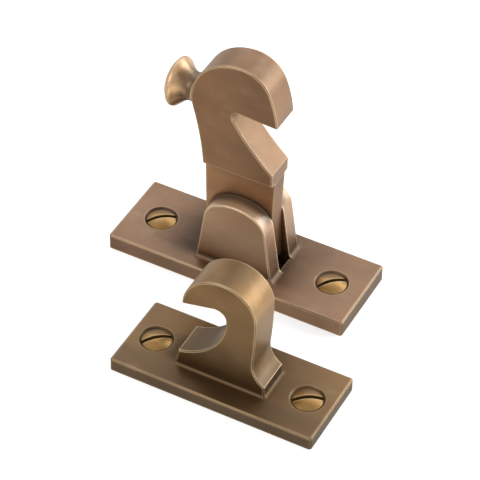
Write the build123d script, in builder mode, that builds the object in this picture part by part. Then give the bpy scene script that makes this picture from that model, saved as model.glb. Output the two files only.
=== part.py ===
from build123d import *
from math import hypot, sqrt
import os

os.makedirs("parts", exist_ok=True)

# Millimetres. The origin is the middle of the catch plate's underside, X runs along the plate,
# the arm's hook opens towards +X, the keep lies on the -Y side, and Z is up.

# Plate of the catch
catch_length = 57.0
catch_width = 20.4
catch_thickness = 3.8
catch_screw_spacing = 42.0

# Plate of the keep
keep_length = 47.0
keep_width = 19.6
keep_thickness = 3.15
keep_screw_spacing = 35.5
keep_shift = 13.9  # middle of the keep, to the right of the middle of the catch
keep_gap = 12.34  # clear space between the two plates

# Eased corners and edges
plate_corner = 0.6
plate_edge = 0.3
form_edge = 0.25

# Cheeks that stand on the catch plate and carry the pivot
cheek_thickness = 4.1
cheek_rise = 17.5
cheek_foot = 18.3
cheek_neck = 14.15
cheek_crown_radius = 10.0
cheek_shoulder_radius = 5.3
cheek_root_round = 1.2

# Pivot
pivot_shift = 0.4
pivot_rise = 9.3
pin_diameter = 4.0
pin_clearance = 0.05
side_clearance = 0.1
foot_clearance = 0.25
swing_clearance = 0.35

# Arm, measured from the pivot
tang_thickness = 4.6
head_thickness = 7.5
tang_back = 9.15
tang_front = 7.35
foot_front = 7.1
foot_back = 8.7
foot_corner = 0.8
front_bow = 0.3
shoulder_rise = 15.0
horn_rise = 18.1
horn_round = 0.3
slot_flat_rise = 31.1
slot_root_rise = 31.9
slot_root_reach = 3.4
slot_bow = 0.75
slot_root_round = 1.5
beak_reach = 8.2
beak_round = 0.35
brow_radius = 7.3
brow_sweep = 68.0
head_back_radius = 11.55
head_back_shift = 0.4
head_back_rise = 32.2
nape_sweep = 15.5

# Knob, measured outwards from the back of the head
spigot_diameter = 3.2
spigot_length = 5.0
spigot_clearance = 0.02
knob_root_radius = 3.5
knob_drop = 0.5
knob_neck_radius = 3.2
knob_neck_reach = 1.3
knob_back_radius = 4.95
knob_back_reach = 3.8
knob_diameter = 10.9
knob_rim_reach = 4.4
knob_rim_width = 0.8
knob_face_radius = 4.2
knob_face_reach = 6.1

# Hook of the keep, measured from the middle of its plate's top
hook_thickness = 8.3
hook_top_shift = 0.1
hook_top_rise = 27.15
hook_tip_radius = 9.3
hook_tip_sweep = 89.3
hook_brow_radius = 7.65
hook_waist_reach = 7.0
hook_waist_rise = 8.2
hook_front_reach = 9.75
hook_front_rise = 2.65
hook_back_reach = 11.1
hook_back_slope = 0.85
hook_floor_rise = 4.0
hook_floor_bow = 2.5
hook_throat_reach = 0.7
hook_throat_rise = 15.95
hook_lip_rise = 20.3
hook_throat_round = 2.3
hook_root_round = 0.8

# Slotted wood screws with a raised countersunk head
screw_head_diameter = 6.76
screw_head_raise = 0.95
screw_sink_depth = 0.37
screw_sink_angle = 90.0
screw_shank_diameter = 3.5
screw_core_diameter = 2.5
screw_plain_length = 9.0
screw_length = 16.0
screw_point_length = 2.6
screw_hole_clearance = 0.15
screw_seat_clearance = 0.02
screw_slot_width = 0.95
screw_slot_depth = 1.45
screw_slot_turns = {
    "catch_screw_left": 41.0,
    "catch_screw_right": 46.0,
    "keep_screw_left": 42.0,
    "keep_screw_right": 32.0,
}

# Places worked out from the sizes above
slot_width = tang_thickness + 2 * side_clearance
block_width = slot_width + 2 * cheek_thickness
pivot_height = catch_thickness + pivot_rise
foot_drop = pivot_rise - foot_clearance
foot_swing = hypot(foot_front, foot_drop) + swing_clearance
keep_y = -(catch_width / 2 + keep_gap + keep_width / 2)
sink_radius = screw_head_diameter / 2 + screw_sink_depth
knob_x = pivot_shift - head_back_shift - head_back_radius
knob_z = pivot_height + head_back_rise - knob_drop

cheek_plane = Plane(origin=(pivot_shift, 0, catch_thickness), x_dir=(1, 0, 0), z_dir=(0, -1, 0))
pivot_plane = Plane(origin=(pivot_shift, 0, pivot_height), x_dir=(1, 0, 0), z_dir=(0, -1, 0))
knob_plane = Plane(origin=(knob_x, 0, knob_z), x_dir=(-1, 0, 0), z_dir=(0, 1, 0))
keep_plane = Plane(origin=(keep_shift, keep_y, keep_thickness), x_dir=(1, 0, 0), z_dir=(0, -1, 0))


# Catch plate: plate and both cheeks are one casting, slotted for the arm
crown_drop = cheek_crown_radius - sqrt(cheek_crown_radius**2 - (cheek_neck / 2) ** 2)
foot_shift = (cheek_foot - cheek_neck) / 2 * catch_thickness / 2 / (cheek_rise - crown_drop)
with BuildPart() as catch_plate:
    with BuildSketch(cheek_plane) as cheek_outline:
        with BuildLine():
            crown = ThreePointArc(
                (-cheek_neck / 2, cheek_rise - crown_drop),
                (0, cheek_rise),
                (cheek_neck / 2, cheek_rise - crown_drop),
            )
            Polyline(
                crown @ 1,
                (cheek_foot / 2 + foot_shift, -catch_thickness / 2),
                (-cheek_foot / 2 - foot_shift, -catch_thickness / 2),
                crown @ 0,
            )
        make_face()
        fillet(cheek_outline.vertices().group_by(Axis.Y)[-1], radius=cheek_shoulder_radius)
    extrude(amount=block_width / 2, both=True)
    side_faces = catch_plate.faces().filter_by(Axis.Y)
    chamfer(side_faces.edges().filter_by(lambda e: e.center().Z > catch_thickness), length=form_edge)
    with BuildSketch(Plane.XY):
        RectangleRounded(catch_length, catch_width, plate_corner)
    extrude(amount=catch_thickness)
    # The plate's top is the second largest level face: its inner edges are the root of the cheeks
    plate_top = catch_plate.faces().filter_by(Axis.Z).sort_by(SortBy.AREA)[-2]
    fillet(plate_top.inner_wires()[0].edges(), radius=cheek_root_round)
    plate_top = catch_plate.faces().filter_by(Axis.Z).sort_by(SortBy.AREA)[-2]
    chamfer(plate_top.outer_wire().edges(), length=plate_edge)
    # Slot between the cheeks, down to the top of the plate
    with Locations((pivot_shift, 0, catch_thickness + cheek_rise / 2)):
        Box(cheek_foot + 4 * cheek_root_round, slot_width, cheek_rise, mode=Mode.SUBTRACT)
    # Pocket in the plate that lets the front corner of the arm's foot swing past
    with BuildSketch(pivot_plane):
        Circle(foot_swing)
        with Locations((0, -foot_swing)):
            Rectangle(cheek_foot / 2, foot_swing, align=(Align.MIN, Align.MIN))
    extrude(amount=slot_width / 2, both=True, mode=Mode.SUBTRACT)
    with BuildSketch(pivot_plane):
        Circle(pin_diameter / 2)
    extrude(amount=block_width, both=True, mode=Mode.SUBTRACT)
    with Locations((0, 0, catch_thickness)):
        with GridLocations(catch_screw_spacing, 0, 2, 1):
            CounterSinkHole(
                radius=screw_shank_diameter / 2 + screw_hole_clearance,
                counter_sink_radius=sink_radius,
                counter_sink_angle=screw_sink_angle,
            )
catch_plate.part.label = "catch_plate"
export_step(catch_plate.part, "parts/catch_plate.step")


# Pivot pin: riveted through both cheeks and dressed flush with them
with BuildPart() as pivot_pin:
    with BuildSketch(pivot_plane):
        Circle(pin_diameter / 2)
    extrude(amount=block_width / 2, both=True)
pivot_pin.part.label = "pivot_pin"
export_step(pivot_pin.part, "parts/pivot_pin.step")


# Arm: one casting, with a hooked head, two shoulders and a thinner tang with a square foot
head_top_rise = head_back_rise + head_back_radius
slot_middle = Vector((tang_front - slot_root_reach) / 2, (horn_rise + slot_root_rise) / 2)
slot_chord = Vector(tang_front + slot_root_reach, horn_rise - slot_root_rise).normalized()
with BuildPart() as hook_arm:
    with BuildSketch(pivot_plane) as arm_outline:
        with BuildLine():
            back = CenterArc((-head_back_shift, head_back_rise), head_back_radius, 90, 90 + nape_sweep)
            brow = CenterArc((-head_back_shift, head_top_rise - brow_radius), brow_radius, 90, -brow_sweep)
            beak = TangentArc(brow @ 1, (beak_reach, slot_flat_rise), tangent=brow % 1)
            slot_flat = Line(beak @ 1, (-slot_root_reach, slot_root_rise))
            slot_low = ThreePointArc(
                slot_flat @ 1,
                slot_middle + Vector(slot_chord.Y, -slot_chord.X) * slot_bow,
                (tang_front, horn_rise),
            )
            horn = Line(slot_low @ 1, (tang_front, shoulder_rise))
            front = SagittaArc(horn @ 1, (foot_front, -foot_drop), -front_bow)
            nape = TangentArc(back @ 1, (-tang_back, shoulder_rise), tangent=back % 1)
            Polyline(front @ 1, (-foot_back, -foot_drop), nape @ 1)
        make_face()
        corners = arm_outline.vertices()
        fillet(corners.sort_by_distance((-slot_root_reach, slot_root_rise))[0], radius=slot_root_round)
        fillet(arm_outline.vertices().sort_by_distance((beak_reach, slot_flat_rise))[0], radius=beak_round)
        fillet(arm_outline.vertices().sort_by_distance((tang_front, horn_rise))[0], radius=horn_round)
        fillet(arm_outline.vertices().sort_by_distance((foot_front, -foot_drop))[0], radius=foot_corner)
    extrude(amount=head_thickness / 2, both=True)
    # The tang is milled thinner on both sides, which leaves the shoulders
    tang_length = shoulder_rise + foot_drop
    shoulder_depth = (head_thickness - tang_thickness) / 2
    for side in (-1, 1):
        side_y = side * (tang_thickness + shoulder_depth) / 2
        with Locations((pivot_shift, side_y, pivot_height + shoulder_rise - tang_length / 2)):
            Box(4 * tang_back, shoulder_depth, tang_length, mode=Mode.SUBTRACT)
    head_faces = hook_arm.faces().filter_by(Axis.Y).filter_by(lambda f: abs(f.center().Y) > tang_thickness / 2)
    head_faces = head_faces.filter_by(lambda f: f.center().Z > pivot_height + shoulder_rise)
    chamfer(head_faces.edges(), length=form_edge)
    with BuildSketch(pivot_plane):
        Circle(pin_diameter / 2 + pin_clearance)
    extrude(amount=head_thickness, both=True, mode=Mode.SUBTRACT)
    with Locations(Plane(origin=(knob_x, 0, knob_z), z_dir=(-1, 0, 0))):
        Hole(radius=spigot_diameter / 2 + spigot_clearance, depth=spigot_length + spigot_clearance)
hook_arm.part.label = "hook_arm"
export_step(hook_arm.part, "parts/hook_arm.step")


# Knob: turned, its root coped to the round back of the head, its spigot let into the arm
with BuildPart() as knob:
    with BuildSketch(knob_plane) as knob_outline:
        with BuildLine():
            root = Line((-knob_neck_reach, knob_root_radius), (0, knob_root_radius))
            neck = Spline(
                root @ 1,
                (knob_neck_reach, knob_neck_radius),
                (knob_back_reach, knob_back_radius),
                tangents=[(2, -1), (1, 1)],
            )
            rim_back = Line(neck @ 1, (knob_rim_reach, knob_diameter / 2))
            rim = Line(rim_back @ 1, (knob_rim_reach + knob_rim_width, knob_diameter / 2))
            bevel = Line(rim @ 1, (knob_face_reach, knob_face_radius))
            Polyline(
                bevel @ 1,
                (knob_face_reach, 0),
                (-spigot_length, 0),
                (-spigot_length, spigot_diameter / 2),
                (-knob_neck_reach, spigot_diameter / 2),
                root @ 0,
            )
        make_face()
        chamfer(knob_outline.vertices().group_by(Axis.Y)[-1], length=form_edge)
    revolve(axis=Axis((knob_x, 0, knob_z), (-1, 0, 0)))
    add(hook_arm.part, mode=Mode.SUBTRACT)
knob.part.label = "knob"
export_step(knob.part, "parts/knob.step")


# Keep: plate and hook are one casting
with BuildPart() as keep:
    with BuildSketch(keep_plane) as hook_outline:
        with BuildLine():
            tip = CenterArc((-hook_top_shift, hook_top_rise - hook_tip_radius), hook_tip_radius, 90, hook_tip_sweep)
            brow = CenterArc((-hook_top_shift, hook_top_rise - hook_brow_radius), hook_brow_radius, 90, -90)
            lip = Line(tip @ 1, (hook_throat_reach, hook_lip_rise))
            throat = Line(lip @ 1, (hook_throat_reach, hook_throat_rise))
            floor_end = Vector(-hook_back_reach + hook_back_slope, hook_floor_rise)
            floor_chord = (floor_end - throat @ 1).normalized()
            floor_middle = (floor_end + throat @ 1) / 2 + Vector(-floor_chord.Y, floor_chord.X) * hook_floor_bow
            floor = ThreePointArc(throat @ 1, floor_middle, floor_end)
            stem = TangentArc(brow @ 1, (hook_waist_reach, hook_waist_rise), tangent=(0, -1))
            toe = TangentArc(stem @ 1, (hook_front_reach, hook_front_rise), tangent=stem % 1)
            heel_shift = hook_back_slope * keep_thickness / 2 / hook_floor_rise
            Polyline(
                toe @ 1,
                (hook_front_reach, -keep_thickness / 2),
                (-hook_back_reach - heel_shift, -keep_thickness / 2),
                floor @ 1,
            )
        make_face()
        fillet(
            hook_outline.vertices().sort_by_distance((hook_throat_reach, hook_lip_rise))[0],
            radius=hook_throat_round,
        )
        fillet(hook_outline.vertices().sort_by_distance(tip @ 1)[0], radius=form_edge)
    extrude(amount=hook_thickness / 2, both=True)
    side_faces = keep.faces().filter_by(Axis.Y)
    chamfer(side_faces.edges().filter_by(lambda e: e.center().Z > keep_thickness), length=form_edge)
    with BuildSketch(Plane.XY):
        with Locations((keep_shift, keep_y)):
            RectangleRounded(keep_length, keep_width, plate_corner)
    extrude(amount=keep_thickness)
    plate_top = keep.faces().filter_by(Axis.Z).sort_by(SortBy.AREA)[-2]
    fillet(plate_top.inner_wires()[0].edges(), radius=hook_root_round)
    plate_top = keep.faces().filter_by(Axis.Z).sort_by(SortBy.AREA)[-2]
    chamfer(plate_top.outer_wire().edges(), length=plate_edge)
    with Locations((keep_shift, keep_y, keep_thickness)):
        with GridLocations(keep_screw_spacing, 0, 2, 1):
            CounterSinkHole(
                radius=screw_shank_diameter / 2 + screw_hole_clearance,
                counter_sink_radius=sink_radius,
                counter_sink_angle=screw_sink_angle,
            )
keep.part.label = "keep"
export_step(keep.part, "parts/keep.step")


# Screws: a raised head with a straight slot, a plain shank, a core and a point
head_radius = screw_head_diameter / 2 - screw_seat_clearance
neck_depth = head_radius - screw_shank_diameter / 2
screw_places = {
    "catch_screw_left": (-catch_screw_spacing / 2, 0, catch_thickness),
    "catch_screw_right": (catch_screw_spacing / 2, 0, catch_thickness),
    "keep_screw_left": (keep_shift - keep_screw_spacing / 2, keep_y, keep_thickness),
    "keep_screw_right": (keep_shift + keep_screw_spacing / 2, keep_y, keep_thickness),
}
for name, (screw_x, screw_y, plate_top) in screw_places.items():
    rim_height = plate_top - screw_sink_depth
    screw_plane = Plane(origin=(screw_x, screw_y, rim_height), x_dir=(1, 0, 0), z_dir=(0, -1, 0))
    with BuildPart() as screw:
        with BuildSketch(screw_plane):
            with BuildLine():
                dome = TangentArc((0, screw_head_raise), (head_radius, 0), tangent=(1, 0))
                Polyline(
                    dome @ 1,
                    (screw_shank_diameter / 2, -neck_depth),
                    (screw_shank_diameter / 2, -screw_plain_length),
                    (screw_core_diameter / 2, -screw_plain_length),
                    (screw_core_diameter / 2, screw_point_length - screw_length),
                    (0, -screw_length),
                    dome @ 0,
                )
            make_face()
        revolve(axis=Axis((screw_x, screw_y, 0), (0, 0, 1)))
        slot_height = rim_height + screw_head_raise - screw_slot_depth / 2
        with Locations(Location((screw_x, screw_y, slot_height), (0, 0, screw_slot_turns[name]))):
            Box(2 * screw_head_diameter, screw_slot_width, screw_slot_depth, mode=Mode.SUBTRACT)
    screw.part.label = name
    export_step(screw.part, f"parts/{name}.step")
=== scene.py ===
import math
import bpy
from mathutils import Matrix, Vector


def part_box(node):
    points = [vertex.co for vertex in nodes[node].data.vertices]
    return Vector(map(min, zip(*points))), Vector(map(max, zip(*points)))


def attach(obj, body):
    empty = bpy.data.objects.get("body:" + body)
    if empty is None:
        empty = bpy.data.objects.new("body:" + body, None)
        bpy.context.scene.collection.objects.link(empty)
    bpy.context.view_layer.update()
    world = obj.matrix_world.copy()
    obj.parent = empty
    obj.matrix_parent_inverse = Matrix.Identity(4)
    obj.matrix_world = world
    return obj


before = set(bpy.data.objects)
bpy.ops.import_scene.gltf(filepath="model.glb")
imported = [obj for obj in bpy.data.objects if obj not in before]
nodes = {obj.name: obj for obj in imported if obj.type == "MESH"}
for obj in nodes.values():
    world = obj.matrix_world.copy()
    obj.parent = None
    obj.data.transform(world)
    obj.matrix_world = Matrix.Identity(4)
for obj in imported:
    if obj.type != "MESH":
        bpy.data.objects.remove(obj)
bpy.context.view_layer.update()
print("frame loaded:", ", ".join(sorted(nodes)))


# camera: a long lens, well above the catch and to its right

cameraView = {
    "place": (0.17403, -0.33903, 0.36417),
    "forward": (-0.33516, 0.64778, -0.68414),
    "up": (-0.3319, 0.5984, 0.7292),
    "lens": 180.72,
    "sensor": 36.0,
    "clip": (0.02, 20),
}


def makeCamera():
    data = bpy.data.cameras.new("photoCamera")
    data.lens = cameraView["lens"]
    data.sensor_width = cameraView["sensor"]
    data.clip_start, data.clip_end = cameraView["clip"]
    camera = bpy.data.objects.new("photoCamera", data)
    bpy.context.scene.collection.objects.link(camera)
    back = -Vector(cameraView["forward"]).normalized()
    right = Vector(cameraView["up"]).cross(back).normalized()
    turn = Matrix((right, back.cross(right), back)).transposed().to_4x4()
    camera.matrix_world = Matrix.Translation(cameraView["place"]) @ turn
    bpy.context.scene.camera = camera


makeCamera()
print("camera placed")


# small helpers for node trees

def plug(tree, value, socket):
    if isinstance(value, bpy.types.NodeSocket):
        tree.links.new(value, socket)
    else:
        socket.default_value = value


def newGroup(name, inputs, outputs):
    tree = bpy.data.node_groups.new(name, "ShaderNodeTree")
    for label, value in inputs.items():
        kind = "NodeSocketColor" if isinstance(value, tuple) else "NodeSocketFloat"
        tree.interface.new_socket(name=label, in_out="INPUT", socket_type=kind).default_value = value
    for label, kind in outputs.items():
        tree.interface.new_socket(name=label, in_out="OUTPUT", socket_type=kind)
    return tree, tree.nodes.new("NodeGroupInput").outputs, tree.nodes.new("NodeGroupOutput").inputs


def placeGroup(tree, group, values, sources=()):  # outputs of the sources go to the inputs of the same name
    node = tree.nodes.new("ShaderNodeGroup")
    node.node_tree = group
    for source in sources:
        for output in source:
            if output.name in node.inputs:
                tree.links.new(output, node.inputs[output.name])
    for label, value in values.items():
        plug(tree, value, node.inputs[label])
    return node.outputs


def math2(tree, operation, a, b=0.0, clamp=False):
    node = tree.nodes.new("ShaderNodeMath")
    node.operation = operation
    node.use_clamp = clamp
    plug(tree, a, node.inputs[0])
    plug(tree, b, node.inputs[1])
    return node.outputs[0]


def times(tree, *factors):
    product = factors[0]
    for factor in factors[1:]:
        product = math2(tree, "MULTIPLY", product, factor)
    return product


def rest(tree, value):
    return math2(tree, "SUBTRACT", 1.0, value, clamp=True)


def remap(tree, value, low, high, toLow=0.0, toHigh=1.0):
    node = tree.nodes.new("ShaderNodeMapRange")
    node.interpolation_type = "SMOOTHSTEP"
    plug(tree, value, node.inputs["Value"])
    for label, number in (("From Min", low), ("From Max", high), ("To Min", toLow), ("To Max", toHigh)):
        plug(tree, number, node.inputs[label])
    return node.outputs["Result"]


def mixColour(tree, factor, a, b):
    node = tree.nodes.new("ShaderNodeMix")
    node.data_type = "RGBA"
    plug(tree, factor, node.inputs[0])
    plug(tree, a, node.inputs[6])
    plug(tree, b, node.inputs[7])
    return node.outputs[2]


def scaled(tree, colour, factor):
    node = tree.nodes.new("ShaderNodeVectorMath")
    node.operation = "SCALE"
    tree.links.new(colour, node.inputs[0])
    plug(tree, factor, node.inputs["Scale"])
    return node.outputs[0]


def axes(tree, vector):
    node = tree.nodes.new("ShaderNodeSeparateXYZ")
    tree.links.new(vector, node.inputs[0])
    return node.outputs


def ownPlace(tree):
    return tree.nodes.new("ShaderNodeTexCoord").outputs["Object"]


def surface(tree, label):
    return tree.nodes.new("ShaderNodeNewGeometry").outputs[label]


def stretched(tree, stretch):
    node = tree.nodes.new("ShaderNodeMapping")
    node.inputs["Scale"].default_value = stretch
    tree.links.new(ownPlace(tree), node.inputs["Vector"])
    return node.outputs[0]


def objectNoise(tree, scale, stretch, detail, roughness):
    noise = tree.nodes.new("ShaderNodeTexNoise")
    tree.links.new(stretched(tree, stretch), noise.inputs["Vector"])
    tree.links.new(scale, noise.inputs["Scale"])
    noise.inputs["Detail"].default_value = detail
    noise.inputs["Roughness"].default_value = roughness
    return noise.outputs[0]


# edges, corners and hidden places, found from how open the surface is

edgeLook = {
    "samples": 12, "bevelSamples": 8,
    "sharp": (0.97, 0.84),  # openness inside the metal where an edge begins and where it is full
    "paling": (0.70, 0.92),  # an edge down in a corner is neither worn nor lit
    "softBand": 3.4, "soft": (1.0, 0.68),  # the paler band beside an edge, in edge widths
    "corner": (0.95, 0.62),
}


def openness(tree, reach, inside=False, alone=False):
    node = tree.nodes.new("ShaderNodeAmbientOcclusion")
    node.samples = edgeLook["samples"]
    node.inside = inside
    node.only_local = inside or alone
    tree.links.new(reach, node.inputs["Distance"])
    return node.outputs["AO"]


def makeEdgesAndCorners():
    tree, given, result = newGroup(
        "edgesAndCorners",
        {"Edge Width": 0.0005, "Corner Reach": 0.0012, "Shade Reach": 0.012, "Plain": 0.0},
        {"Edge": "NodeSocketFloat", "Near Edge": "NodeSocketFloat", "Corner": "NodeSocketFloat",
         "Hidden": "NodeSocketFloat", "Soft Normal": "NodeSocketVector"})
    shown = rest(tree, given["Plain"])
    near = openness(tree, given["Corner Reach"])
    wide = openness(tree, given["Shade Reach"], alone=True)
    thin = openness(tree, given["Edge Width"], inside=True)
    broad = openness(tree, times(tree, given["Edge Width"], edgeLook["softBand"]), inside=True)
    edge = times(tree, remap(tree, thin, *edgeLook["sharp"]), remap(tree, near, *edgeLook["paling"]))
    tree.links.new(times(tree, edge, shown), result["Edge"])
    tree.links.new(times(tree, remap(tree, broad, *edgeLook["soft"]), shown), result["Near Edge"])
    tree.links.new(remap(tree, near, *edgeLook["corner"]), result["Corner"])
    tree.links.new(math2(tree, "SUBTRACT", 1.0, wide), result["Hidden"])
    bevel = tree.nodes.new("ShaderNodeBevel")
    bevel.samples = edgeLook["bevelSamples"]
    tree.links.new(given["Edge Width"], bevel.inputs["Radius"])
    choose = tree.nodes.new("ShaderNodeMix")
    choose.data_type = "VECTOR"
    tree.links.new(given["Plain"], choose.inputs[0])
    tree.links.new(bevel.outputs["Normal"], choose.inputs[4])
    tree.links.new(surface(tree, "Normal"), choose.inputs[5])
    tree.links.new(choose.outputs[1], result["Soft Normal"])
    return tree


# fine polishing lines and the cloudy colour of old brass

marksLook = {
    "lineScale": 2600.0, "patchScale": 260.0,
    "lines": ((0.05, 1.0, 1.0), 3.0, 0.6),  # stretch, detail and roughness of each noise
    "patches": ((0.6, 1.0, 1.0), 4.0, 0.55),
    "clouds": ((0.35, 0.45, 0.45), 2.0, 0.5),
}


def makeBrushMarks():
    tree, given, result = newGroup(
        "brushMarks",
        {"Line Scale": marksLook["lineScale"], "Patch Scale": marksLook["patchScale"]},
        {"Lines": "NodeSocketFloat", "Patches": "NodeSocketFloat", "Clouds": "NodeSocketFloat"})
    tree.links.new(objectNoise(tree, given["Line Scale"], *marksLook["lines"]), result["Lines"])
    tree.links.new(objectNoise(tree, given["Patch Scale"], *marksLook["patches"]), result["Patches"])
    tree.links.new(objectNoise(tree, given["Patch Scale"], *marksLook["clouds"]), result["Clouds"])
    return tree


plainBrass = (0.2, 0.1, 0.05, 1)  # until a material gives its own
cloudLook = {
    "warm": (0.48, 0.66, 0.0, 0.5), "pale": (0.48, 0.32, 0.0, 0.6),  # patches, and how much colour they bring
    "clouds": (0.30, 0.70, 0.88, 1.12), "lines": (0.25, 0.75, 0.93, 1.07),  # marks, and the tone that they give
}


def makeCloudyBrass():
    tree, given, result = newGroup(
        "cloudyBrass",
        {"Body": plainBrass, "Warm": plainBrass, "Pale": plainBrass,
         "Lines": 0.5, "Patches": 0.5, "Clouds": 0.5},
        {"Colour": "NodeSocketColor", "Tone": "NodeSocketFloat"})
    colour = mixColour(tree, remap(tree, given["Patches"], *cloudLook["warm"]), given["Body"], given["Warm"])
    colour = mixColour(tree, remap(tree, given["Patches"], *cloudLook["pale"]), colour, given["Pale"])
    clouds = remap(tree, given["Clouds"], *cloudLook["clouds"])
    tree.links.new(colour, result["Colour"])
    tree.links.new(times(tree, clouds, remap(tree, given["Lines"], *cloudLook["lines"])), result["Tone"])
    return tree


# painted light and shade of a casting below and above its step: the plate's top, or the shoulders of the arm

stepLook = {
    "top": (0.0002, 0.0010),  # over the step, where the upper tone begins and where it is full
    "rim": (-0.0010, -0.0004),  # under it, where the tone of the plate's thin sides fades out
    "rimAcross": (-0.022, 0.020),  # left and right along those sides
    "end": (0.45, 0.9),  # how far a face turns to the right, from hardly to fully
}


def fromStep(tree, step, rises):
    return [math2(tree, "ADD", step, rise) for rise in rises]


def makeStepLightAndShade():
    tree, given, result = newGroup(
        "stepLightAndShade",
        {"Step Height": 0.0, "Lower Tone": 1.0, "Ramp Start": 0.0, "Ramp End": 1.0, "Start Tone": 1.0,
         "End Tone": 1.0, "Rim Left": 1.0, "Rim Right": 1.0, "Lower End": 1.0, "Upper End": 1.0},
        {"Above": "NodeSocketFloat", "End": "NodeSocketFloat", "Tone": "NodeSocketFloat"})
    place = axes(tree, ownPlace(tree))
    step = given["Step Height"]
    above = remap(tree, place["Z"], *fromStep(tree, step, stepLook["top"]))
    ramp = [given[label] for label in ("Ramp Start", "Ramp End", "Start Tone", "End Tone")]
    upper = times(tree, remap(tree, place["Z"], *ramp), above)
    tone = math2(tree, "ADD", upper, times(tree, rest(tree, above), given["Lower Tone"]))
    rim = remap(tree, place["X"], *stepLook["rimAcross"], given["Rim Left"], given["Rim Right"])
    tone = times(tree, tone, remap(tree, place["Z"], *fromStep(tree, step, stepLook["rim"]), rim, 1.0))
    end = remap(tree, axes(tree, surface(tree, "Normal"))["X"], *stepLook["end"])
    gain = times(tree, above, math2(tree, "SUBTRACT", given["Upper End"], given["Lower End"]))
    endTone = math2(tree, "ADD", gain, math2(tree, "SUBTRACT", given["Lower End"], 1.0))
    tone = times(tree, tone, math2(tree, "ADD", times(tree, endTone, end), 1.0))
    tree.links.new(above, result["Above"])
    tree.links.new(end, result["End"])
    tree.links.new(tone, result["Tone"])
    return tree


rootLook = {
    "hidden": (0.01, 0.16),  # how closed in a place is, from open to dark
    "foot": 0.0005,  # over the step, where the shade is full
    "rightPart": 0.6,  # what is left of it past its right end
    "upwards": (0.3, 0.8),  # how far a hollow's floor faces up
}


def makeRootShade():
    tree, given, result = newGroup(
        "rootShade",
        {"Hidden": 0.0, "Step Height": 0.0, "Root Height": 0.003, "Depth": 0.0, "Front Start": -1.0,
         "Front End": 0.0, "Front Part": 1.0, "Right Start": 0.0, "Right End": 1.0, "Hollow Depth": 0.0},
        {"Shade": "NodeSocketFloat"})
    place = axes(tree, ownPlace(tree))
    step = given["Step Height"]
    foot = math2(tree, "ADD", step, rootLook["foot"])
    low = remap(tree, place["Z"], math2(tree, "ADD", step, given["Root Height"]), foot)
    front = remap(tree, place["Y"], given["Front Start"], given["Front End"], given["Front Part"], 1.0)
    right = remap(tree, place["X"], given["Right Start"], given["Right End"], 1.0, rootLook["rightPart"])
    up = axes(tree, surface(tree, "Normal"))["Z"]
    hollow = remap(tree, up, *rootLook["upwards"], 0.0, given["Hollow Depth"])
    low = math2(tree, "MAXIMUM", times(tree, low, front, right), hollow)
    shade = remap(tree, given["Hidden"], *rootLook["hidden"], 0.0, given["Depth"])
    tree.links.new(times(tree, shade, low), result["Shade"])
    return tree


# dark patina and painted shade in the corners, worn edges with painted edge highlights, and the shine that goes with
# them

wearLook = {
    "offTable": (0.0008, 0.0020),  # heights between which the corners' dark patina and painted shade begin, clear of the table
    "lessShadeToRight": (0.15, 0.5, 1.0, 0.35),  # painted shade: corners on faces turned to the right, towards the light, darken less
    "edgeClouds": (0.35, 0.6, 0.60, 0.86), "lowerEdge": 0.30,
    "lineRough": (0.3, 0.7, -0.05, 0.06), "cornerRough": 0.15,
    "bareEdge": 0.6, "dullShade": 1.3,
}


def makeWearShadeAndSheen():
    tree, given, result = newGroup(
        "wearShadeAndSheen",
        {"Colour": plainBrass, "Corner Colour": plainBrass, "Edge Colour": plainBrass,
         "Corner": 0.0, "Edge": 0.0, "Near Edge": 0.0, "Lines": 0.5, "Clouds": 0.5,
         "Above": 1.0, "End": 0.0, "Shade": 0.0, "Crown": 0.0,
         "Patina And Shade": 0.6, "Edge Band": 0.1, "Roughness": 0.4, "Metallic": 0.75, "Coat": 0.3},
        {"Colour": "NodeSocketColor", "Roughness": "NodeSocketFloat", "Metallic": "NodeSocketFloat",
         "Coat": "NodeSocketFloat"})
    offTable = remap(tree, axes(tree, ownPlace(tree))["Z"], *wearLook["offTable"], 0.0, given["Patina And Shade"])
    right = remap(tree, axes(tree, surface(tree, "Normal"))["X"], *wearLook["lessShadeToRight"])
    patinaAndShade = times(tree, given["Corner"], offTable, right)
    lowerEdge = math2(tree, "ADD", times(tree, given["Above"], 1.0 - wearLook["lowerEdge"]), wearLook["lowerEdge"])
    wearAndSheen = times(tree, given["Edge"], remap(tree, given["Clouds"], *wearLook["edgeClouds"]), lowerEdge)
    colour = mixColour(tree, patinaAndShade, given["Colour"], given["Corner Colour"])
    colour = mixColour(tree, times(tree, given["Near Edge"], given["Edge Band"]), colour, given["Edge Colour"])
    tree.links.new(mixColour(tree, wearAndSheen, colour, given["Edge Colour"]), result["Colour"])

    rough = math2(tree, "ADD", remap(tree, given["Lines"], *wearLook["lineRough"]), given["Roughness"])
    rough = math2(tree, "ADD", rough, times(tree, given["Corner"], wearLook["cornerRough"]))
    tree.links.new(rough, result["Roughness"])
    bare = times(tree, math2(tree, "MAXIMUM", wearAndSheen, given["Crown"]), wearLook["bareEdge"])
    tree.links.new(times(tree, rest(tree, bare), given["Metallic"]), result["Metallic"])
    dull = math2(tree, "MAXIMUM", given["Corner"], times(tree, given["Shade"], wearLook["dullShade"]))
    dull = math2(tree, "MAXIMUM", dull, times(tree, rest(tree, given["Above"]), given["End"]))
    tree.links.new(times(tree, rest(tree, dull), given["Coat"]), result["Coat"])
    return tree


edgesAndCorners = makeEdgesAndCorners()
brushMarks = makeBrushMarks()
cloudyBrass = makeCloudyBrass()
stepLightAndShade = makeStepLightAndShade()
rootShade = makeRootShade()
wearShadeAndSheen = makeWearShadeAndSheen()
print("brass effects made:", len(bpy.data.node_groups), "groups")


# what single pieces add to the shared effects

polish = {"strength": 0.45, "depth": 0.00003, "coatRoughness": 0.32}


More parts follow.
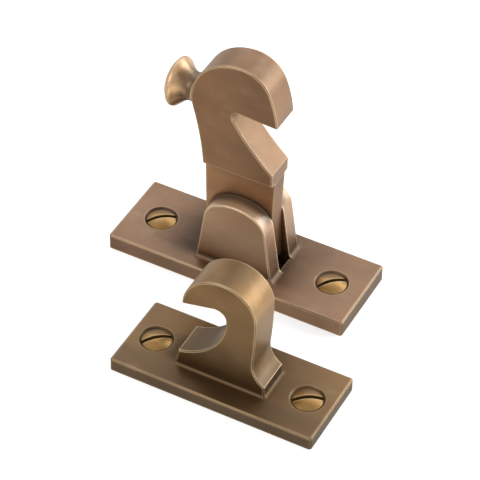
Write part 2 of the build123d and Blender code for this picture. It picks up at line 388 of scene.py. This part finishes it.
def pivotSeam(tree, pivot, place):
    sideways = math2(tree, "SUBTRACT", place["X"], pivot["x"])
    upwards = math2(tree, "SUBTRACT", place["Z"], pivot["z"])
    squares = math2(tree, "ADD", times(tree, sideways, sideways), times(tree, upwards, upwards))
    return math2(tree, "LESS_THAN", math2(tree, "SQRT", squares), pivot["seam"])


def stainTone(tree, stain):
    distance = tree.nodes.new("ShaderNodeVectorMath")
    distance.operation = "DISTANCE"
    tree.links.new(stretched(tree, stain["stretch"]), distance.inputs[0])
    distance.inputs[1].default_value = [a * b for a, b in zip(stain["place"], stain["stretch"])]
    return remap(tree, distance.outputs["Value"], *stain["reach"], 1.0 - stain["depth"], 1.0)


# painted light and shadow on the cheeks: paler towards the crown, the crown's outer half lit, its inner half in
# painted shadow against the tang
def crownLightAndShadow(tree, crown, colour, place, facing):
    paling = remap(tree, place["Z"], crown["height"] - crown["fade"], crown["height"], 0.0, crown["paling"])
    top = remap(tree, place["Z"], crown["height"], crown["height"] + crown["top"])
    top = times(tree, top, remap(tree, facing["Z"], *crown["upwards"]))
    outwards = math2(tree, "ABSOLUTE", place["Y"])
    topColour = mixColour(tree, remap(tree, outwards, *crown["across"]), crown["inner"], crown["outer"])
    topColour = scaled(tree, topColour, remap(tree, place["X"], *crown["along"]))
    colour = mixColour(tree, paling, colour, crown["outer"])
    return mixColour(tree, top, colour, topColour), top


def brassMaterial(name, finish):
    material = bpy.data.materials.new(name)
    material.use_nodes = True
    tree = material.node_tree
    shader = tree.nodes["Principled BSDF"]
    place = axes(tree, ownPlace(tree))
    facing = axes(tree, surface(tree, "Normal"))
    marks = placeGroup(tree, brushMarks, {})
    edgeValues = dict(finish["edges"])
    if "pivot" in finish:
        edgeValues["Plain"] = pivotSeam(tree, finish["pivot"], place)
    edges = placeGroup(tree, edgesAndCorners, edgeValues)
    cloudy = placeGroup(tree, cloudyBrass, finish["brass"], [marks])
    tones = [cloudy["Tone"]]
    sources = [marks, edges]
    if "step" in finish:
        step = placeGroup(tree, stepLightAndShade, finish["step"])
        rootValues = dict(finish["roots"], **{"Step Height": finish["step"]["Step Height"]})
        roots = placeGroup(tree, rootShade, rootValues, [edges])
        tones += [step["Tone"], rest(tree, roots["Shade"])]
        sources += [step, roots]
        if "plateFront" in finish:
            tones.append(math2(tree, "MAXIMUM", step["Above"], remap(tree, place["Y"], *finish["plateFront"])))
    if "stain" in finish:
        tones.append(stainTone(tree, finish["stain"]))
    if "across" in finish:
        tones.append(remap(tree, place["X"], *finish["across"]))
    if "backwards" in finish:
        tones.append(remap(tree, facing["Y"], *finish["backwards"]))
    look = dict(finish["wear"], Colour=scaled(tree, cloudy["Colour"], times(tree, *tones)))
    if "crown" in finish:
        look["Colour"], look["Crown"] = crownLightAndShadow(tree, finish["crown"], look["Colour"], place, facing)
    wearAndSheen = placeGroup(tree, wearShadeAndSheen, look, sources)
    tree.links.new(wearAndSheen["Colour"], shader.inputs["Base Color"])
    tree.links.new(wearAndSheen["Roughness"], shader.inputs["Roughness"])
    tree.links.new(wearAndSheen["Metallic"], shader.inputs["Metallic"])
    tree.links.new(wearAndSheen["Coat"], shader.inputs["Coat Weight"])
    shader.inputs["Coat Roughness"].default_value = polish["coatRoughness"]
    bump = tree.nodes.new("ShaderNodeBump")
    bump.inputs["Strength"].default_value = polish["strength"]
    bump.inputs["Distance"].default_value = polish["depth"]
    tree.links.new(marks["Lines"], bump.inputs["Height"])
    tree.links.new(edges["Soft Normal"], bump.inputs["Normal"])
    tree.links.new(bump.outputs["Normal"], shader.inputs["Normal"])
    return material


# the finishes: capital names are the groups' own inputs, and lengths are in metres

pivot = {"x": 0.0004, "z": 0.0131, "seam": 0.0036}  # the pin's riveted ends are dressed until they don't show

catchBrass = {
    "brass": {"Body": (0.174, 0.095, 0.048, 1), "Warm": (0.188, 0.093, 0.041, 1), "Pale": (0.196, 0.119, 0.068, 1)},
    "edges": {"Edge Width": 0.00021, "Corner Reach": 0.0014, "Shade Reach": 0.018},
    "pivot": pivot,
    "step": {
        "Step Height": 0.0038, "Lower Tone": 1.10, "Rim Left": 0.86, "Rim Right": 1.07,
        "Ramp Start": 0.006, "Ramp End": 0.018, "Start Tone": 1.10, "End Tone": 1.8,
        "Lower End": 0.45, "Upper End": 0.80},
    "roots": {
        "Root Height": 0.003, "Depth": 0.80, "Front Start": -0.0085, "Front End": -0.0050, "Front Part": 0.35,
        "Right Start": -0.006, "Right End": 0.010},
    # painted light on the cheeks' crowns, lighter to the right, with painted shadow on the inner half next to the tang
    "crown": {
        "height": 0.0165, "top": 0.002, "fade": 0.012, "paling": 0.45, "upwards": (0.15, 0.6),
        "outer": (0.44, 0.29, 0.18, 1), "inner": (0.11, 0.068, 0.038, 1),
        "across": (0.0034, 0.0058), "along": (-0.003, 0.006, 0.92, 1.2)},
    # Corner Colour is dark patina with painted shade, Edge Colour is worn metal with painted edge highlights
    "wear": {
        "Corner Colour": (0.066, 0.038, 0.024, 1), "Edge Colour": (0.95, 0.71, 0.45, 1), "Patina And Shade": 0.6,
        "Edge Band": 0.10, "Roughness": 0.40, "Metallic": 0.75, "Coat": 0.30},
}
catchMaterial = brassMaterial("agedCatchBrass", catchBrass)

armBrass = {
    "brass": {"Body": (0.176, 0.092, 0.042, 1), "Warm": (0.192, 0.092, 0.036, 1), "Pale": (0.198, 0.116, 0.062, 1)},
    "edges": {"Edge Width": 0.00021, "Corner Reach": 0.0014, "Shade Reach": 0.018},
    "pivot": pivot,
    "step": {
        "Step Height": 0.0268, "Lower Tone": 1.6,
        "Ramp Start": 0.030, "Ramp End": 0.052, "Start Tone": 1.18, "End Tone": 1.06,
        "Lower End": 0.75, "Upper End": 1.04},
    "roots": {
        "Root Height": 1.0, "Depth": 0.28, "Front Start": -0.0085, "Front End": -0.0050, "Front Part": 0.35,
        "Right Start": -0.006, "Right End": 0.010},
    "across": (-0.009, 0.008, 1.16, 0.97),
    "wear": {
        "Corner Colour": (0.066, 0.038, 0.024, 1), "Edge Colour": (0.78, 0.58, 0.365, 1), "Patina And Shade": 0.8,
        "Edge Band": 0.10, "Roughness": 0.40, "Metallic": 0.75, "Coat": 0.30},
}
armMaterial = brassMaterial("agedArmBrass", armBrass)

keepBrass = {
    "brass": {"Body": (0.160, 0.086, 0.028, 1), "Warm": (0.170, 0.084, 0.023, 1), "Pale": (0.184, 0.110, 0.045, 1)},
    "edges": {"Edge Width": 0.00021, "Corner Reach": 0.0012, "Shade Reach": 0.018},
    "step": {
        "Step Height": 0.00315, "Lower Tone": 0.97, "Rim Left": 0.90, "Rim Right": 0.68,
        "Ramp Start": 0.004, "Ramp End": 0.026, "Start Tone": 0.62, "End Tone": 1.35,
        "Lower End": 0.70, "Upper End": 1.15},
    "roots": {
        "Root Height": 0.004, "Depth": 0.64, "Front Start": -0.0380, "Front End": -0.0345, "Front Part": 0.12,
        "Right Start": 0.008, "Right End": 0.022, "Hollow Depth": 0.35},
    "plateFront": (-0.0380, -0.0345, 0.72, 1.0),
    "stain": {"place": (0.0145, -0.0318, 0.0303), "stretch": (1.0, 0.5, 1.0), "reach": (0.001, 0.0052), "depth": 0.42},
    "wear": {
        "Corner Colour": (0.066, 0.039, 0.018, 1), "Edge Colour": (0.72, 0.54, 0.32, 1), "Patina And Shade": 0.6,
        "Edge Band": 0.10, "Roughness": 0.40, "Metallic": 0.75, "Coat": 0.30},
}
keepMaterial = brassMaterial("agedKeepBrass", keepBrass)

knobBrass = {
    "brass": {"Body": (0.33, 0.20, 0.105, 1), "Warm": (0.34, 0.19, 0.085, 1), "Pale": (0.38, 0.25, 0.145, 1)},
    "edges": {"Edge Width": 0.0006, "Corner Reach": 0.0022},
    "across": (-0.0163, -0.0128, 1.55, 0.5),  # painted light on the face, fading to painted shade at the neck
    "wear": {
        "Corner Colour": (0.075, 0.050, 0.040, 1), "Edge Colour": (0.72, 0.53, 0.32, 1), "Patina And Shade": 0.85,
        "Edge Band": 0.0, "Roughness": 0.32, "Metallic": 0.80, "Coat": 0.30},
}
knobMaterial = brassMaterial("paintedLightKnobBrass", knobBrass)

screwBrass = {
    "brass": {"Body": (0.285, 0.150, 0.040, 1), "Warm": (0.30, 0.148, 0.034, 1), "Pale": (0.35, 0.215, 0.078, 1)},
    "edges": {"Edge Width": 0.0002, "Corner Reach": 0.0010},
    "backwards": (-0.05, 0.22, 1.0, 0.62),  # painted shade: the raised head is darker where it turns to the back
    "wear": {
        "Corner Colour": (0.02, 0.010, 0.006, 1), "Edge Colour": (0.50, 0.35, 0.15, 1), "Patina And Shade": 0.85,
        "Edge Band": 0.1, "Roughness": 0.36, "Metallic": 0.85, "Coat": 0.35},
}
screwMaterial = brassMaterial("agedScrewBrass", screwBrass)

finishes = {
    "catch_plate": catchMaterial, "hook_arm": armMaterial, "knob": knobMaterial, "pivot_pin": catchMaterial,
    "keep": keepMaterial, "catch_screw_left": screwMaterial, "catch_screw_right": screwMaterial,
    "keep_screw_left": screwMaterial, "keep_screw_right": screwMaterial,
}
for name, material in finishes.items():
    mesh = nodes[name].data
    mesh.materials.clear()
    mesh.materials.append(material)
print("brass on", len(finishes), "pieces")


# thread of the wood screws: one wound ridge, repeated at the point of each screw

thread = {
    "Pitch": 0.0013, "Core Radius": 0.00125, "Ridge": 0.0004, "Lift": 0.0005, "Length": 0.0062,
    "Point Length": 0.0026, "Point Scale": 0.12,
}
threadSteps = {"turn": 24, "ridge": 4}


def makeThreadTree():
    tree = bpy.data.node_groups.new("screwThread", "GeometryNodeTree")
    kinds = {"Points": "NodeSocketGeometry"}
    kinds.update({label: "NodeSocketFloat" for label in thread})
    kinds["Material"] = "NodeSocketMaterial"
    sockets = {}
    for label, kind in kinds.items():
        sockets[label] = tree.interface.new_socket(name=label, in_out="INPUT", socket_type=kind).identifier
    tree.interface.new_socket(name="Thread", in_out="OUTPUT", socket_type="NodeSocketGeometry")
    given = tree.nodes.new("NodeGroupInput").outputs
    result = tree.nodes.new("NodeGroupOutput").inputs

    spiral = tree.nodes.new("GeometryNodeCurveSpiral")
    spiral.inputs["Resolution"].default_value = threadSteps["turn"]
    tree.links.new(math2(tree, "DIVIDE", given["Length"], given["Pitch"]), spiral.inputs["Rotations"])
    tree.links.new(given["Core Radius"], spiral.inputs["Start Radius"])
    tree.links.new(given["Core Radius"], spiral.inputs["End Radius"])
    tree.links.new(given["Length"], spiral.inputs["Height"])

    place = axes(tree, tree.nodes.new("GeometryNodeInputPosition").outputs[0])
    rise = math2(tree, "ADD", place["Z"], given["Lift"])
    taper = math2(tree, "DIVIDE", rise, given["Point Length"], clamp=True)  # the ridge narrows to the screw's point
    taper = math2(tree, "MAXIMUM", taper, given["Point Scale"])
    moved = tree.nodes.new("ShaderNodeCombineXYZ")
    tree.links.new(times(tree, place["X"], taper), moved.inputs["X"])
    tree.links.new(times(tree, place["Y"], taper), moved.inputs["Y"])
    tree.links.new(rise, moved.inputs["Z"])
    shaped = tree.nodes.new("GeometryNodeSetPosition")
    tree.links.new(spiral.outputs[0], shaped.inputs["Geometry"])
    tree.links.new(moved.outputs[0], shaped.inputs["Position"])
    upright = tree.nodes.new("GeometryNodeSetCurveNormal")
    upright.mode = "Z_UP"
    tree.links.new(shaped.outputs[0], upright.inputs[0])

    ridge = tree.nodes.new("GeometryNodeCurvePrimitiveCircle")
    ridge.inputs["Resolution"].default_value = threadSteps["ridge"]
    tree.links.new(given["Ridge"], ridge.inputs["Radius"])
    wound = tree.nodes.new("GeometryNodeCurveToMesh")
    wound.inputs["Fill Caps"].default_value = True
    tree.links.new(upright.outputs[0], wound.inputs["Curve"])
    tree.links.new(ridge.outputs[0], wound.inputs["Profile Curve"])

    copies = tree.nodes.new("GeometryNodeInstanceOnPoints")
    tree.links.new(given["Points"], copies.inputs["Points"])
    tree.links.new(wound.outputs[0], copies.inputs["Instance"])
    real = tree.nodes.new("GeometryNodeRealizeInstances")
    tree.links.new(copies.outputs[0], real.inputs[0])
    dressed = tree.nodes.new("GeometryNodeSetMaterial")
    tree.links.new(real.outputs[0], dressed.inputs["Geometry"])
    tree.links.new(given["Material"], dressed.inputs["Material"])
    tree.links.new(dressed.outputs[0], result[0])
    return tree, sockets


def makeThreads():
    tips = []
    for name in sorted(nodes):
        if "screw" in name:
            low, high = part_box(name)
            tips.append(((low[0] + high[0]) / 2, (low[1] + high[1]) / 2, low[2]))
    mesh = bpy.data.meshes.new("screwTips")
    mesh.from_pydata(tips, [], [])
    holder = bpy.data.objects.new("screwTips", mesh)
    bpy.context.scene.collection.objects.link(holder)
    tree, sockets = makeThreadTree()
    modifier = holder.modifiers.new("thread", "NODES")
    modifier.node_group = tree
    for label, value in dict(thread, Material=screwMaterial).items():
        modifier[sockets[label]] = value
    view = bpy.context.evaluated_depsgraph_get()
    made = bpy.data.meshes.new_from_object(holder.evaluated_get(view), depsgraph=view)
    bpy.data.objects.remove(holder)
    threads = bpy.data.objects.new("screw_threads", made)
    bpy.context.scene.collection.objects.link(threads)
    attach(threads, "fixed")
    return threads


threads = makeThreads()
print("threads wound:", len(threads.data.polygons), "faces")


# plain white table and room, soft light from the back and the right

room = {
    "tableReach": 1.5, "tableColour": (0.7, 0.7, 0.7, 1), "cameraGlow": 0.5, "ambient": 0.8,
    "mirrorNear": 0.86, "mirrorFar": 1.2,  # the table's glow as the brass reflects it, a painted reflection light: near by, and more towards the far right
    "farHeights": (0.80, 0.40), "farSides": (0.3, -0.3),
    "mirrorColour": (1.0, 0.96, 0.89, 1), "worldColour": (1, 1, 1, 1),
}


def makeTable():
    reach = room["tableReach"]
    corners = [(-reach, -reach, 0), (reach, -reach, 0), (reach, reach, 0), (-reach, reach, 0)]
    mesh = bpy.data.meshes.new("table")
    mesh.from_pydata(corners, [], [(0, 1, 2, 3)])
    table = bpy.data.objects.new("table", mesh)
    bpy.context.scene.collection.objects.link(table)
    material = bpy.data.materials.new("whiteTable")
    material.use_nodes = True
    tree = material.node_tree
    tree.nodes.clear()
    output = tree.nodes.new("ShaderNodeOutputMaterial")
    diffuse = tree.nodes.new("ShaderNodeBsdfDiffuse")
    diffuse.inputs["Color"].default_value = room["tableColour"]
    path = tree.nodes.new("ShaderNodeLightPath").outputs
    glow = tree.nodes.new("ShaderNodeEmission")
    tree.links.new(times(tree, path["Is Camera Ray"], room["cameraGlow"]), glow.inputs["Strength"])
    arriving = axes(tree, surface(tree, "Incoming"))
    far = times(
        tree, remap(tree, arriving["Z"], *room["farHeights"]), remap(tree, arriving["X"], *room["farSides"]))
    level = math2(tree, "ADD", times(tree, far, room["mirrorFar"]), room["mirrorNear"])
    mirrored = tree.nodes.new("ShaderNodeEmission")
    mirrored.inputs["Color"].default_value = room["mirrorColour"]
    tree.links.new(level, mirrored.inputs["Strength"])
    lit = tree.nodes.new("ShaderNodeAddShader")
    tree.links.new(diffuse.outputs[0], lit.inputs[0])
    tree.links.new(glow.outputs[0], lit.inputs[1])
    both = tree.nodes.new("ShaderNodeMixShader")
    indirect = math2(tree, "ADD", path["Is Glossy Ray"], path["Is Transmission Ray"], clamp=True)
    tree.links.new(indirect, both.inputs[0])
    tree.links.new(lit.outputs[0], both.inputs[1])
    tree.links.new(mirrored.outputs[0], both.inputs[2])
    tree.links.new(both.outputs[0], output.inputs["Surface"])
    mesh.materials.append(material)


def makeWorld():
    world = bpy.data.worlds.new("studio")
    bpy.context.scene.world = world
    world.use_nodes = True
    tree = world.node_tree
    background = tree.nodes["Background"]
    background.inputs["Color"].default_value = room["worldColour"]
    path = tree.nodes.new("ShaderNodeLightPath").outputs
    seen = math2(tree, "ADD", path["Is Camera Ray"], path["Is Transmission Ray"], clamp=True)
    strength = math2(tree, "ADD", times(tree, seen, 1.0 - room["ambient"]), room["ambient"])
    tree.links.new(strength, background.inputs["Strength"])


lampTarget = (0.0, -0.015, 0.02)
lamps = {
    "windowRight": {"from": (0.62, 0.56, 0.27), "size": (0.60, 0.50), "radiance": 4.5, "tint": (0.95, 1.04, 1.08)},
    "panelAbove": {"from": (-0.25, 0.52, 0.60), "size": (0.90, 0.60), "radiance": 1.1, "tint": (0.97, 1.02, 1.10)},
    "panelBetween": {"from": (0.22, 0.60, 0.50), "size": (0.44, 0.44), "radiance": 2.2, "tint": (0.98, 1.02, 1.04)},
    "panelFront": {"from": (-0.22, -0.50, 0.48), "size": (0.50, 0.40), "radiance": 2.4, "tint": (1.0, 0.99, 0.95)},
}


def makeLamps():
    for name, lamp in lamps.items():
        wide, high = lamp["size"]
        data = bpy.data.lights.new(name, "AREA")
        data.shape = "RECTANGLE"
        data.color = lamp["tint"]
        data.size, data.size_y = wide, high
        data.energy = lamp["radiance"] * math.pi * wide * high
        light = bpy.data.objects.new(name, data)
        bpy.context.scene.collection.objects.link(light)
        place = Vector(lamp["from"])
        aim = (Vector(lampTarget) - place).to_track_quat("-Z", "Y").to_matrix().to_4x4()
        light.matrix_world = Matrix.Translation(place) @ aim


makeTable()
makeWorld()
makeLamps()
bpy.context.scene.view_settings.view_transform = "Standard"
print("table, room and lamps ready")
